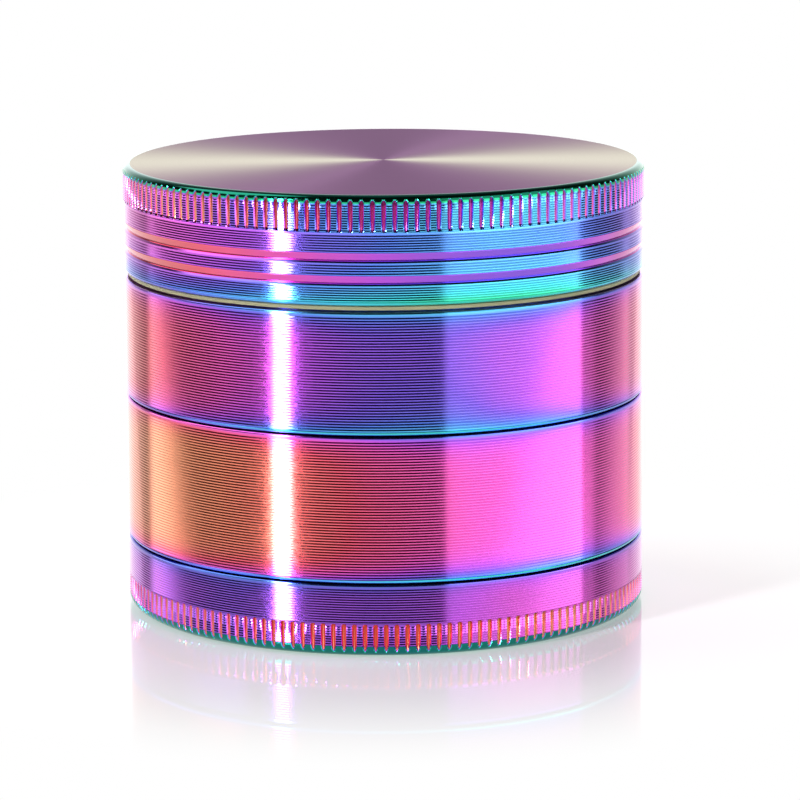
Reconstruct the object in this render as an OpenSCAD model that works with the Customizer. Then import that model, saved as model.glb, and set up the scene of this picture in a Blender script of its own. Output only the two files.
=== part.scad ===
// Four-part hand grinder: catch tray, sieve chamber, grinding chamber and lid,
// stacked on one axis. +Z is up, and the origin is the centre of the underside.

/* [Body] */
// Outer diameter of all four parts
body_d = 50; // [48:1:60]
// Height of the catch tray
tray_h = 6.8; // [6.8:0.1:9]
// Visible height of the sieve chamber
sieve_h = 13.7; // [12:0.1:20]
// Visible height of the grinding chamber
chamber_h = 11.4; // [11:0.1:13]
// Height of the lid
lid_h = 10.1; // [9.8:0.1:12]
// Open seam between two stacked parts
seam = 0.1; // [0.05:0.01:0.15]
// Thickness of the tray's floor
tray_floor = 1.5; // [1.2:0.1:1.6]
// Thickness of the lid's top
lid_top = 2; // [1.5:0.1:2.5]
// Thickness of the grinding floor
grind_floor = 2; // [1.5:0.1:2.5]

/* [Edges and grooves] */
// Radius of the lid's upper edge
lid_edge_r = 0.7; // [0.4:0.05:1]
// Radius of the lower edges of lid and chambers
lower_edge_r = 0.45; // [0.3:0.05:0.6]
// Width of the chamfer under the tray
tray_chamfer_w = 0.8; // [0.5:0.05:1]
// Height of the chamfer under the tray
tray_chamfer_h = 1; // [0.6:0.05:1.2]
// Depth of the two grooves around the lid
groove_depth = 0.35; // [0.2:0.05:0.4]
// Height of one lid groove
groove_h = 0.87; // [0.6:0.01:1]
// Height of the sharp lower lip of a lid groove
groove_lip_h = 0.15; // [0.1:0.01:0.2]

/* [Knurled bands] */
// Notches around the lid's upper edge
lid_notches = 156; // [120:1:180]
// Notches around the tray's lower edge
tray_notches = 160; // [120:1:180]
// Depth of one notch
notch_depth = 0.32; // [0.2:0.01:0.4]
// Share of the pitch that a notch takes up
notch_share = 0.52; // [0.4:0.01:0.6]
// Height of the lid's knurled band
lid_knurl_h = 3.4; // [2:0.1:4]
// Height of the tray's knurled band
tray_knurl_h = 3.1; // [2:0.1:4]

/* [Screw threads] */
// Pitch of the right-hand threads
pitch = 1.5; // [1.4:0.05:1.5]
// Length of the threaded spigot under each chamber
spigot_h = 3.5; // [3.2:0.1:3.5]
// Radial gap between a spigot's thread and its socket
thread_gap = 0.2; // [0.15:0.01:0.25]
// Height of a thread ridge above its root
ridge_h = 0.7; // [0.6:0.05:0.8]

/* [Teeth] */
// Teeth in the grinding chamber's outer ring
chamber_outer_count = 12; // [8:1:12]
// Teeth in the grinding chamber's inner ring
chamber_inner_count = 6; // [4:1:6]
// Teeth in the lid's outer ring
lid_outer_count = 10; // [6:1:10]
// Teeth in the lid's inner ring
lid_inner_count = 5; // [3:1:5]
// Width of a tooth across its ring
tooth_w = 3; // [2.4:0.1:3]
// Length of a tooth along its ring
tooth_l = 4.4; // [3:0.1:4.6]
// Gap between tooth tips and the face opposite
tip_gap = 1; // [0.6:0.1:1.5]
// Diameter of the drop holes in the grinding floor
drop_hole_d = 4.2; // [3.4:0.1:4.2]

/* [Screen and magnets] */
// Inner radius of the ledge that carries the screen, as a share of the body's radius
ledge_share = 0.8; // [0.78:0.01:0.8]
// Thickness of the woven screen
screen_t = 0.15; // [0.1:0.01:0.2]
// Diameter of the two magnets
magnet_d = 6; // [5:0.1:6]
// Thickness of the two magnets
magnet_h = 2; // [1.5:0.1:2.5]

/* [Hidden] */
$fn = 96;

body_r = body_d / 2;

// Heights of the stack, from the underside up
sieve_z = tray_h + seam;
sieve_top = sieve_z + sieve_h;
chamber_z = sieve_top + seam;
shoulder_z = chamber_z + chamber_h;
ring_h = 0.52;
ring_seam = 0.08;
ring_inset = 0.3;
ring_r = body_r - ring_inset;
lid_z = shoulder_z + ring_h + ring_seam;
top_z = lid_z + lid_h;
lid_under = top_z - lid_top;

// Edges: rounding of upper edges, chamfers, and how far a cutter reaches past what it cuts
upper_edge_r = 0.15;
spigot_chamfer = 0.3;
ring_chamfer = 0.12;
overrun = 1;

// Threads: a spigot's root, its inner wall, and the socket that takes it
spigot_inset = 2.7;
spigot_wall = 1.3;
spigot_r = body_r - spigot_inset;
spigot_inner_r = spigot_r - spigot_wall;
crest_r = spigot_r + ridge_h;
socket_r = crest_r + thread_gap;
socket_crest_r = spigot_r + thread_gap;
socket_end_gap = 0.2;
socket_depth = spigot_h + socket_end_gap;
ridge_root_w = 0.9;
ridge_crest_w = 0.4;
ridge_sink = 0.2;
ridge_steps = 48;
ridge_turns = 1.45;
ridge_fade = 30;
ridge_start = 0.6;
sieve_spigot_z = sieve_z - spigot_h;
chamber_spigot_z = chamber_z - spigot_h;

// Grinding space: the reduced rim, its floor and the post in the middle
rim_inset = 1.95;
rim_wall = 1.65;
rim_head_gap = 2.6;
lid_side_gap = 0.3;
floor_drop = 3.5;
rim_r = body_r - rim_inset;
rim_inner_r = rim_r - rim_wall;
rim_top = lid_under - rim_head_gap;
lid_inner_r = rim_r + lid_side_gap;
floor_top = shoulder_z - floor_drop;
floor_under = floor_top - grind_floor;

// Posts and magnets: the two posts meet just above the middle of the grinding space
mid_rise = 0.35;
mid_z = (floor_top + lid_under) / 2 + mid_rise;
post_gap = 0.3;
post_wall = 1.8;
post_r = magnet_d / 2 + post_wall;
pocket_gap = 0.1;
lower_post_z = mid_z - post_gap / 2;
upper_post_z = mid_z + post_gap / 2;

// Tooth rings from the rim inwards, spread evenly as shares of the rim's inner radius
tooth_rings = [for (share = [0.902, 0.731, 0.561, 0.392]) share * rim_inner_r];
tooth_h = lid_under - floor_top - tip_gap;
tooth_root = 0.2;

// Screen pack: ledge, gasket, screen and clamp ring
bowl_wall = 2.8;
bowl_r = body_r - bowl_wall;
ledge_r = ledge_share * body_r;
ledge_t = 0.9;
ledge_top = sieve_z;
fit_gap = 0.05;
gasket_t = 0.4;
gasket_inset = 0.1;
clamp_inset = 0.2;
clamp_side_gap = 0.02;
screen_z = ledge_top + gasket_t + 2 * fit_gap;
clamp_h = 0.9;

// Tray cavity
cavity_wall = 3;
cavity_r = body_r - cavity_wall;
cavity_fillet = 1.2;

// Lid grooves: lip heights above the lid's lower edge, and the bend in the slope of a groove
groove_rises = [1.9, 3.99];
bend_rise = 0.55;
bend_depth = 0.75;

// Notches: how far a cutter stands proud of the body
notch_proud = 0.06;

// Points of an arc about [cx, cy], from angle a0 to a1
function arc(cx, cy, r, a0, a1, n = 6) =
    [for (i = [0:n]) let (a = a0 + (a1 - a0) * i / n) [cx + r * cos(a), cy + r * sin(a)]];

// One lid groove from its lower lip up: a short lip, then a long slope back out
function groove(z) = [[body_r, z], [body_r - groove_depth, z + groove_lip_h],
                      [body_r - groove_depth * bend_depth, z + groove_h * bend_rise],
                      [body_r, z + groove_h]];

// Ring of V notches around the body, between heights z0 and z1
module notches(count, z0, z1) {
    half = notch_share * 180 / count;
    land_r = body_r + notch_proud;
    translate([0, 0, z0]) linear_extrude(z1 - z0) difference() {
        circle(r = body_r + overrun);
        polygon([for (i = [0:count - 1], side = [-1:1])
            let (a = 360 * i / count + side * half, r = side == 0 ? body_r - notch_depth : land_r)
            [r * cos(a), r * sin(a)]]);
    }
}

// Helical ridge. The base lies at base_r, inside the wall, and the crest at tip_r.
module ridge(base_r, tip_r, z0) {
    n = round(ridge_turns * ridge_steps);
    function fade(a) = max(0.1, min(1, a / ridge_fade, (ridge_turns * 360 - a) / ridge_fade));
    function ring(i) = let (a = 360 * i / ridge_steps, f = fade(a),
                            z = z0 + pitch * a / 360, r = base_r + (tip_r - base_r) * f)
        [for (p = [[base_r, -ridge_root_w], [r, -ridge_crest_w], [r, ridge_crest_w], [base_r, ridge_root_w]])
            [p[0] * cos(a), p[0] * sin(a), z + p[1] / 2]];
    flip = tip_r < base_r;
    function turn(f) = flip ? [f[2], f[1], f[0]] : f;
    sides = [for (i = [0:n - 1], k = [0:3]) let (a = 4 * i + k, b = 4 * i + (k + 1) % 4)
        each [turn([a, a + 4, b]), turn([b, a + 4, b + 4])]];
    ends = [turn([0, 1, 2]), turn([0, 2, 3]),
            turn([4 * n + 2, 4 * n + 1, 4 * n]), turn([4 * n + 3, 4 * n + 2, 4 * n])];
    polyhedron([for (i = [0:n]) each ring(i)], concat(sides, ends));
}

// Ridge around a spigot that starts at height z
module male_ridge(z) ridge(spigot_r - ridge_sink, crest_r, z + ridge_start);

// Ridge in the socket that takes the same spigot: half a pitch lower, so that they mesh
module female_ridge(z) ridge(socket_r + ridge_sink, socket_crest_r, z + ridge_start - pitch / 2);

// Ring of diamond-section teeth, standing up from height z
module teeth(count, place_r, z) {
    for (i = [0:count - 1]) rotate((i + 0.5) * 360 / count) translate([place_r, 0, z])
        linear_extrude(tooth_h + tooth_root)
            polygon([[tooth_w / 2, 0], [0, tooth_l / 2], [-tooth_w / 2, 0], [0, -tooth_l / 2]]);
}

module drop_holes(count, place_r) {
    for (i = [0:count - 1]) rotate(i * 360 / count) translate([place_r, 0, floor_under - overrun])
        cylinder(d = drop_hole_d, h = grind_floor + 2 * overrun);
}

module catch_tray() color("mediumpurple") difference() {
    rotate_extrude() polygon(concat(
        [[0, 0], [body_r - tray_chamfer_w, 0]],
        arc(body_r - tray_chamfer_h, tray_chamfer_h, tray_chamfer_h, -50, 0, 4),
        arc(body_r - upper_edge_r, tray_h - upper_edge_r, upper_edge_r, 0, 90, 2),
        [[socket_r, tray_h], [socket_r, tray_h - socket_depth], [cavity_r, tray_h - socket_depth]],
        arc(cavity_r - cavity_fillet, tray_floor + cavity_fillet, cavity_fillet, 0, -90),
        [[0, tray_floor]]));
    notches(tray_notches, -overrun, tray_knurl_h);
}

module tray_thread() color("mediumpurple") female_ridge(sieve_spigot_z);

module screen_gasket() color("whitesmoke") translate([0, 0, ledge_top + fit_gap]) difference() {
    cylinder(r = bowl_r - 2 * fit_gap, h = gasket_t);
    translate([0, 0, -overrun]) cylinder(r = ledge_r + gasket_inset, h = gasket_t + 2 * overrun);
}

module sieve_chamber() color("deeppink") rotate_extrude() polygon(concat(
    [[spigot_inner_r, sieve_spigot_z], [spigot_r - spigot_chamfer, sieve_spigot_z],
     [spigot_r, sieve_spigot_z + spigot_chamfer], [spigot_r, sieve_z]],
    arc(body_r - lower_edge_r, sieve_z + lower_edge_r, lower_edge_r, -90, 0, 5),
    arc(body_r - upper_edge_r, sieve_top - upper_edge_r, upper_edge_r, 0, 90, 2),
    [[socket_r, sieve_top], [socket_r, sieve_top - socket_depth], [bowl_r, sieve_top - socket_depth],
     [bowl_r, ledge_top], [ledge_r, ledge_top], [ledge_r, ledge_top - ledge_t],
     [spigot_inner_r, ledge_top - ledge_t]]));

module sieve_lower_thread() color("deeppink") male_ridge(sieve_spigot_z);

module sieve_upper_thread() color("deeppink") female_ridge(chamber_spigot_z);

module mesh_screen() color("silver") translate([0, 0, screen_z])
    cylinder(r = bowl_r - fit_gap, h = screen_t);

module screen_clamp_ring() color("gainsboro") translate([0, 0, screen_z + screen_t]) difference() {
    cylinder(r = bowl_r - clamp_side_gap, h = clamp_h);
    translate([0, 0, -overrun]) cylinder(r = ledge_r + clamp_inset, h = clamp_h + 2 * overrun);
}

module chamber_magnet() color("lightgrey")
    translate([0, 0, lower_post_z - magnet_h]) cylinder(d = magnet_d, h = magnet_h);

module grinding_chamber() color("darkviolet") difference() {
    rotate_extrude() polygon(concat(
        [[0, floor_under], [spigot_inner_r, floor_under], [spigot_inner_r, chamber_spigot_z],
         [spigot_r - spigot_chamfer, chamber_spigot_z],
         [spigot_r, chamber_spigot_z + spigot_chamfer], [spigot_r, chamber_z]],
        arc(body_r - lower_edge_r, chamber_z + lower_edge_r, lower_edge_r, -90, 0, 5),
        arc(body_r - upper_edge_r, shoulder_z - upper_edge_r, upper_edge_r, 0, 90, 2),
        [[rim_r, shoulder_z], [rim_r, rim_top - spigot_chamfer], [rim_r - spigot_chamfer, rim_top],
         [rim_inner_r, rim_top], [rim_inner_r, floor_top], [post_r, floor_top],
         [post_r, lower_post_z], [0, lower_post_z]]));
    translate([0, 0, lower_post_z - magnet_h - pocket_gap])
        cylinder(r = magnet_d / 2 + pocket_gap, h = magnet_h + overrun);
    drop_holes(chamber_outer_count, tooth_rings[1]);
    drop_holes(chamber_inner_count, tooth_rings[3]);
}

module chamber_thread() color("darkviolet") male_ridge(chamber_spigot_z);

module chamber_outer_teeth() color("darkviolet")
    teeth(chamber_outer_count, tooth_rings[0], floor_top - tooth_root);

module chamber_inner_teeth() color("darkviolet")
    teeth(chamber_inner_count, tooth_rings[2], floor_top - tooth_root);

module friction_ring() color("wheat") rotate_extrude() polygon([
    [rim_r + fit_gap, shoulder_z], [ring_r - ring_chamfer, shoulder_z],
    [ring_r, shoulder_z + ring_chamfer], [ring_r, shoulder_z + ring_h - ring_chamfer],
    [ring_r - ring_chamfer, shoulder_z + ring_h], [rim_r + fit_gap, shoulder_z + ring_h]]);

module lid_magnet() color("lightgrey")
    translate([0, 0, upper_post_z]) cylinder(d = magnet_d, h = magnet_h);

module lid() color("slateblue") difference() {
    rotate_extrude() polygon(concat(
        [[lid_inner_r, lid_z]],
        arc(body_r - lower_edge_r, lid_z + lower_edge_r, lower_edge_r, -90, 0, 5),
        groove(lid_z + groove_rises[0]), groove(lid_z + groove_rises[1]),
        arc(body_r - lid_edge_r, top_z - lid_edge_r, lid_edge_r, 0, 90),
        [[0, top_z], [0, upper_post_z], [post_r, upper_post_z], [post_r, lid_under],
         [lid_inner_r, lid_under]]));
    translate([0, 0, upper_post_z - overrun])
        cylinder(r = magnet_d / 2 + pocket_gap, h = magnet_h + overrun + pocket_gap);
    notches(lid_notches, top_z - lid_knurl_h, top_z + overrun);
}

module lid_outer_teeth() color("slateblue")
    teeth(lid_outer_count, tooth_rings[1], lid_under - tooth_h);

module lid_inner_teeth() color("slateblue")
    teeth(lid_inner_count, tooth_rings[3], lid_under - tooth_h);

catch_tray();
tray_thread();
screen_gasket();
sieve_chamber();
sieve_lower_thread();
sieve_upper_thread();
mesh_screen();
screen_clamp_ring();
chamber_magnet();
grinding_chamber();
chamber_thread();
chamber_outer_teeth();
chamber_inner_teeth();
friction_ring();
lid_magnet();
lid();
lid_outer_teeth();
lid_inner_teeth();
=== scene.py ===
import math

import bpy
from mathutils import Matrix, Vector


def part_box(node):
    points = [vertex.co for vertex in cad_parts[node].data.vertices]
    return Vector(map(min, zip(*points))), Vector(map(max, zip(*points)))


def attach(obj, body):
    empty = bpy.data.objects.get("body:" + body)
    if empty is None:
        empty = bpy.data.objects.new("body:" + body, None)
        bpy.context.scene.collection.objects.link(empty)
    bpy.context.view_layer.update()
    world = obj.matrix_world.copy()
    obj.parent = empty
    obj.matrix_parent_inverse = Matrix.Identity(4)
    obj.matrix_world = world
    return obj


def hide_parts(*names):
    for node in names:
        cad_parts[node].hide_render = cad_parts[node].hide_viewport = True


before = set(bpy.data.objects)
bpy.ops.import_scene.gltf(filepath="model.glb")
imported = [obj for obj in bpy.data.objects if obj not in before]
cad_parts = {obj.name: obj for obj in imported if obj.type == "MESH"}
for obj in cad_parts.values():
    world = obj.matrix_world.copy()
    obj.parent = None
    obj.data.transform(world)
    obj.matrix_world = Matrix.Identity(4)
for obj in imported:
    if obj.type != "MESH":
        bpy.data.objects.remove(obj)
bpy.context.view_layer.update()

MM = 0.001
TURN = 2 * math.pi


# ---------------------------------------------------------------- sizes, in millimetres

def span(node):
    """Lowest and highest z of a CAD node, and its radius, in millimetres."""
    low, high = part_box(node)
    return low.z / MM, high.z / MM, high.x / MM


LID_Z, TOP_Z, R = span("lid")
_, RIM_TOP, _ = span("grinding_chamber")
SHOULDER_Z, RING_TOP, RING_R = span("friction_ring")
_, SIEVE_TOP, _ = span("sieve_chamber")
_, TRAY_H, _ = span("catch_tray")
GASKET_Z, GASKET_TOP, GASKET_R = span("screen_gasket")
SCREEN_Z, SCREEN_TOP, SCREEN_R = span("mesh_screen")
CLAMP_Z, CLAMP_TOP, CLAMP_R = span("screen_clamp_ring")
TOOTH_LOW, TOOTH_TOP, _ = span("chamber_outer_teeth")
LID_TOOTH_LOW, LID_TOOTH_TOP, _ = span("lid_outer_teeth")
LID_MAGNET_Z, LID_MAGNET_TOP, MAGNET_R = span("lid_magnet")
CORE_MAGNET_Z, CORE_MAGNET_TOP, _ = span("chamber_magnet")

SEAM = 0.1
SIEVE_Z = TRAY_H + SEAM
CHAMBER_Z = SIEVE_TOP + SEAM
SPIGOT_H = 3.5
SPIGOT_R = R - 2.7
SPIGOT_INNER_R = SPIGOT_R - 1.3
SOCKET_R = SPIGOT_R + 0.9
SOCKET_DEPTH = SPIGOT_H + 0.2
BOWL_R = R - 2.8
LEDGE_R = 0.8 * R
LEDGE_T = 0.9
CAVITY_R = R - 3
TRAY_FLOOR = 1.5
RIM_R = R - 1.95
RIM_INNER_R = RIM_R - 1.65
LID_INNER_R = RIM_R + 0.3
LID_UNDER = TOP_Z - 2
FLOOR_TOP = SHOULDER_Z - 3.5
FLOOR_UNDER = FLOOR_TOP - 2
POST_R = MAGNET_R + 1.8
DROP_HOLE_R = 2.1
TOOTH_W = 3
TOOTH_L = 4.4
RINGS = [share * RIM_INNER_R for share in (0.902, 0.731, 0.561, 0.392)]

TOOTH_CORNER = 0.12
LID_TEETH = (10, 5)
CHAMBER_TEETH = (12, 6)
DROP_HOLES = (12, 6)

LID_EDGE_R = 0.7
LOWER_EDGE_R = 0.32
UPPER_EDGE_R = 0.15
TRAY_CHAMFER = 1.0
GROOVE_HEIGHTS = (1.9, 3.99)
LID_KNURL_Z = TOP_Z - 3.4
TRAY_KNURL_TOP = 3.1
LID_NOTCHES = 156
TRAY_NOTCHES = 160
NOTCH_DEPTH = 0.34
COLUMNS_PER_NOTCH = 10
FAR = 1000

THREAD_PITCH = 1.5
THREAD_TURNS = 1.45
THREAD_STEPS = 72
THREAD_FADE = 0.083
THREAD_HEIGHT = 0.7
THREAD_START = 0.6
SOCKET_SHIFT = -0.75
WIRE_PITCH = 0.62

# Lathe lines: pitch, depth, and each line's points as (share of the pitch, share of the depth)
LINE_FINE = 0.228
LINE_COARSE = 0.256
LINE_DEPTH = 0.04
LINE_POINTS = ((0.0, 1), (0.13, 0), (0.50, 0))


# ---------------------------------------------------------------- camera, light and floor

CAMERA_PLACE = (0, -0.3843, 0.0931)
CAMERA_TURN = (79.13, 0.324, -0.282)
LENS = 181.35


def place_camera():
    """Long lens, in front of the grinder and a little above the lid."""
    data = bpy.data.cameras.new("camera")
    data.sensor_width = 36
    data.lens = LENS
    camera = bpy.data.objects.new("camera", data)
    bpy.context.scene.collection.objects.link(camera)
    camera.location = CAMERA_PLACE
    camera.rotation_euler = [math.radians(a) for a in CAMERA_TURN]
    bpy.context.scene.camera = camera


class Shader:
    """Adds nodes to a shader tree. An input is a socket to join, or a value to set."""

    def __init__(self, tree):
        self.tree = tree
        tree.nodes.clear()

    def add(self, kind, settings=None, **inputs):
        node = self.tree.nodes.new(kind)
        for key, value in (settings or {}).items():
            setattr(node, key, value)
        for key, value in inputs.items():
            self.put(node.inputs[key.replace("_", " ")], value)
        return node

    def put(self, socket, value):
        if isinstance(value, bpy.types.NodeSocket):
            self.tree.links.new(value, socket)
        else:
            socket.default_value = value

    def math(self, operation, *values):
        node = self.tree.nodes.new("ShaderNodeMath")
        node.operation = operation
        for socket, value in zip(node.inputs, values):
            self.put(socket, value)
        return node.outputs[0]

    def between(self, value, low, high, soft):
        """1 where value lies between low and high, with soft edges, and 0 elsewhere."""
        rise = self.add("ShaderNodeMapRange", {"interpolation_type": "SMOOTHSTEP"},
                        Value=value, From_Min=low - soft, From_Max=low + soft).outputs[0]
        fall = self.add("ShaderNodeMapRange", {"interpolation_type": "SMOOTHSTEP"},
                        Value=value, From_Min=high - soft, From_Max=high + soft,
                        To_Min=1.0, To_Max=0.0).outputs[0]
        return self.math("MULTIPLY", rise, fall)


# Lit patches of the studio, in degrees round from the camera (right is positive) and up:
# (from, to, softness) for both, and the strength. The softbox has two heights, one in the other.
FRONT = [((-82, 104, 4), (-30, 9.5, 3.5), 1.0), ((-126, -78, 4), (-30, 8.5, 3), 1.1),
         ((100, 136, 4), (-30, 6, 3), 0.5)]
FRONT_STRENGTH = 2.0
LAMPS = [((27, 97, 0.8), (-30, 17, 2), 1.5), ((27, 97, 0.8), (-30, 48, 1), 1.0),
         ((-50, -43.8, 0.8), (-30, 30, 1), 42.0), ((-125, -80, 4), (36, 70, 4), 2.2)]
COVE_STRENGTH = 1.9
ROOM = 0.02


def light_studio():
    """A white cove behind the grinder, pale walls low in front, a softbox to the right, a strip light
    to the left and a high panel further round to the left."""
    world = bpy.data.worlds.new("studio")
    bpy.context.scene.world = world
    world.use_nodes = True
    s = Shader(world.node_tree)
    direction = s.add("ShaderNodeTexCoord").outputs["Generated"]
    x, y, z = s.add("ShaderNodeSeparateXYZ", Vector=direction).outputs
    side = s.math("DEGREES", s.math("ARCTAN2", x, s.math("MULTIPLY", y, -1.0)))
    rise = s.math("DEGREES", s.math("ARCSINE", z))

    def patch(across, up, strength):
        shape = s.math("MULTIPLY", s.between(side, *across), s.between(rise, *up))
        return s.math("MULTIPLY", shape, strength)

    cove = s.add("ShaderNodeMapRange", Value=s.math("ABSOLUTE", side), From_Min=127.0,
                 From_Max=171.0).outputs[0]
    low = s.add("ShaderNodeMapRange", Value=rise, From_Min=6.0, From_Max=40.0,
                To_Min=1.0, To_Max=0.10).outputs[0]
    front = 0.0
    for spot in FRONT:
        front = s.math("MAXIMUM", front, patch(*spot))
    total = s.math("ADD", ROOM, s.math("MULTIPLY", s.math("MULTIPLY", cove, low), COVE_STRENGTH))
    total = s.math("ADD", total, s.math("MULTIPLY", front, FRONT_STRENGTH))
    for lamp in LAMPS:
        total = s.math("ADD", total, patch(*lamp))
    background = s.add("ShaderNodeBackground", Color=(1, 1, 1, 1), Strength=total)
    seen = s.add("ShaderNodeBackground", Color=(1, 1, 1, 1), Strength=1.0)
    mix = s.add("ShaderNodeMixShader")
    s.put(mix.inputs[0], s.add("ShaderNodeLightPath").outputs["Is Camera Ray"])
    s.put(mix.inputs[1], background.outputs[0])
    s.put(mix.inputs[2], seen.outputs[0])
    s.put(s.add("ShaderNodeOutputWorld").inputs["Surface"], mix.outputs[0])


def lay_floor():
    """Glossy white acrylic sheet that the grinder stands on. Its reflections fade to white outwards."""
    mesh = bpy.data.meshes.new("floor")
    half = 3.0
    mesh.from_pydata([(-half, -half, 0), (half, -half, 0), (half, half, 0), (-half, half, 0)], [],
                     [(0, 1, 2, 3)])
    floor = bpy.data.objects.new("floor", mesh)
    bpy.context.scene.collection.objects.link(floor)
    material = bpy.data.materials.new("white_acrylic")
    material.use_nodes = True
    s = Shader(material.node_tree)
    place = s.add("ShaderNodeTexCoord").outputs["Object"]
    away = s.add("ShaderNodeVectorMath", {"operation": "LENGTH"}, Vector=place).outputs["Value"]
    eye = s.add("ShaderNodeLightPath").outputs["Is Camera Ray"]
    glow = s.add("ShaderNodeMapRange", Value=eye, To_Min=0.48, To_Max=0.26).outputs[0]
    gloss = s.add("ShaderNodeMapRange", Value=eye, To_Min=0.14, To_Max=0.02).outputs[0]
    acrylic = s.add("ShaderNodeBsdfPrincipled", Base_Color=(0.93, 0.93, 0.94, 1), Roughness=gloss,
                    Emission_Color=(1, 1, 1, 1), Emission_Strength=glow)
    fade = s.add("ShaderNodeMapRange", {"interpolation_type": "SMOOTHSTEP"}, Value=away,
                 From_Min=0.030, From_Max=0.062).outputs[0]
    white = s.add("ShaderNodeEmission", Color=(1, 1, 1, 1), Strength=1.0)
    mix = s.add("ShaderNodeMixShader")
    s.put(mix.inputs[0], s.math("MULTIPLY", fade, eye))
    s.put(mix.inputs[1], acrylic.outputs[0])
    s.put(mix.inputs[2], white.outputs[0])
    finish_material(s, mix.outputs[0])
    mesh.materials.append(material)


# ---------------------------------------------------------------- materials

# Colours of the coating in interference order, from a thin film to a thick one
FILM = [(0.00, (0.66, 0.52, 0.30)), (0.12, (0.86, 0.43, 0.18)), (0.22, (0.98, 0.29, 0.16)),
        (0.32, (1.00, 0.12, 0.21)), (0.42, (0.93, 0.10, 0.58)), (0.50, (0.62, 0.09, 0.86)),
        (0.58, (0.24, 0.11, 0.86)), (0.67, (0.10, 0.24, 0.93)), (0.76, (0.09, 0.50, 0.95)),
        (0.85, (0.05, 0.74, 0.86)), (0.92, (0.035, 0.76, 0.52)), (1.00, (0.012, 0.45, 0.16)),
        (1.15, (0.006, 0.20, 0.21))]
THICKEST = FILM[-1][0]


def new_material(name):
    material = bpy.data.materials.new(name)
    material.use_nodes = True
    return material, Shader(material.node_tree)


def finish_material(s, shader):
    output = s.add("ShaderNodeOutputMaterial")
    s.put(output.inputs["Surface"], shader)


def film_ramp(s, order, share):
    ramp = s.add("ShaderNodeValToRGB", Fac=s.math("DIVIDE", order, THICKEST))
    stops = ramp.color_ramp.elements
    while len(stops) < len(FILM):
        stops.new(0.5)
    for stop, (place, colour) in zip(stops, FILM):
        stop.position = place / THICKEST
        stop.color = (*[share * c for c in colour], 1)
    return ramp.outputs[0]


def rainbow_coat(name, wave, wave_at, base=0.0, share=0.66, notch_film=None, notch_shade=0.0):
    """Interference coating on turned metal. The film's order comes from the piece's own film
    attribute and drops on both sides of the azimuth wave_at, partly as the coating's own variation
    and partly as painted light, the film's colour shift at a glancing view towards the sides. A
    knurled band has notch_film in its notches, is darker there as painted shade in the recesses,
    and keeps its order on its thickest rim."""
    material, s = new_material(name)
    place = s.add("ShaderNodeTexCoord").outputs["Object"]
    x, y, z = s.add("ShaderNodeSeparateXYZ", Vector=place).outputs
    # The film order drops away from wave_at round the piece: partly the coating's own variation, partly
    # painted light, the film's glancing-view colour shift towards the sides.
    azimuth = s.math("ARCTAN2", x, s.math("MULTIPLY", y, -1.0))
    lobe = s.math("COSINE", s.math("MULTIPLY", s.math("SUBTRACT", azimuth, math.radians(wave_at)), 2.0))
    order_drop_limb_shift = s.math("MULTIPLY", s.math("SUBTRACT", 1.0, lobe), wave)
    film = s.add("ShaderNodeAttribute", {"attribute_name": "film"}).outputs["Fac"]
    clear_coat = 0.5
    if notch_film is not None:
        cut = s.add("ShaderNodeAttribute", {"attribute_name": "cut"}).outputs["Fac"]
        inside = s.math("MINIMUM", 1.0, s.math("MULTIPLY", cut, 2.0))
        outside = s.math("SUBTRACT", 1.0, inside)
        on_rim = s.math("MULTIPLY", s.math("GREATER_THAN", film, 1.0), outside)
        order_drop_limb_shift = s.math("MULTIPLY", order_drop_limb_shift, s.math("SUBTRACT", 1.0, on_rim))
        film = s.math("ADD", s.math("MULTIPLY", film, outside), s.math("MULTIPLY", inside, notch_film))
        clear_coat = s.math("SUBTRACT", clear_coat, s.math("MULTIPLY", on_rim, 0.4))
    cloud = s.add("ShaderNodeTexNoise", Vector=place, Scale=70.0, Detail=2.0).outputs["Fac"]
    clouding = s.math("MULTIPLY", s.math("SUBTRACT", cloud, 0.5), 0.10)
    order = s.math("ADD", s.math("ADD", s.math("SUBTRACT", film, order_drop_limb_shift), base), clouding)
    colour = film_ramp(s, order, share)
    # Inside the notches the colour is darkened with depth: painted shade in the recesses.
    if notch_film is not None:
        notch_shade_scale = s.math("SUBTRACT", 1.0, s.math("MULTIPLY", cut, notch_shade))
        colour = s.add("ShaderNodeVectorMath", {"operation": "SCALE"}, Vector=colour,
                       Scale=notch_shade_scale).outputs[0]
    grit = s.add("ShaderNodeTexNoise", Vector=place, Scale=2600.0, Detail=1.0).outputs["Fac"]
    rough = s.add("ShaderNodeMapRange", Value=grit, To_Min=0.08, To_Max=0.17).outputs[0]
    radius = s.add("ShaderNodeVectorMath", {"operation": "LENGTH"}, Vector=s.add(
        "ShaderNodeCombineXYZ", X=x, Y=y).outputs[0]).outputs["Value"]
    along = s.add("ShaderNodeCombineXYZ", X=s.math("MULTIPLY", radius, 5000.0),
                  Y=s.math("MULTIPLY", z, 5000.0))
    marks = s.add("ShaderNodeTexNoise", Vector=along.outputs[0], Scale=1.0, Detail=1.0).outputs["Fac"]
    relief = s.add("ShaderNodeBump", Height=marks, Strength=0.25, Distance=0.000004)
    metal = s.add("ShaderNodeBsdfPrincipled", Base_Color=colour, Metallic=1.0, Roughness=rough,
                  Normal=relief.outputs[0], Coat_Weight=clear_coat, Coat_Roughness=0.08, Coat_IOR=1.65)
    finish_material(s, metal.outputs[0])
    return material


# Lid face colours. The two creams are painted highlight: the face turns cream towards its left and right,
# where its turning spreads the side lights.
FACE_DARK = (0.29, 0.155, 0.29, 1)
FACE_LIGHT = (0.38, 0.22, 0.38, 1)
FACE_HIGHLIGHT_CREAM = (0.40, 0.375, 0.32, 1)
GLANCING_MAUVE = (0.50, 0.38, 0.49, 1)
GLANCING_HIGHLIGHT_CREAM = (0.70, 0.67, 0.60, 1)


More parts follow.
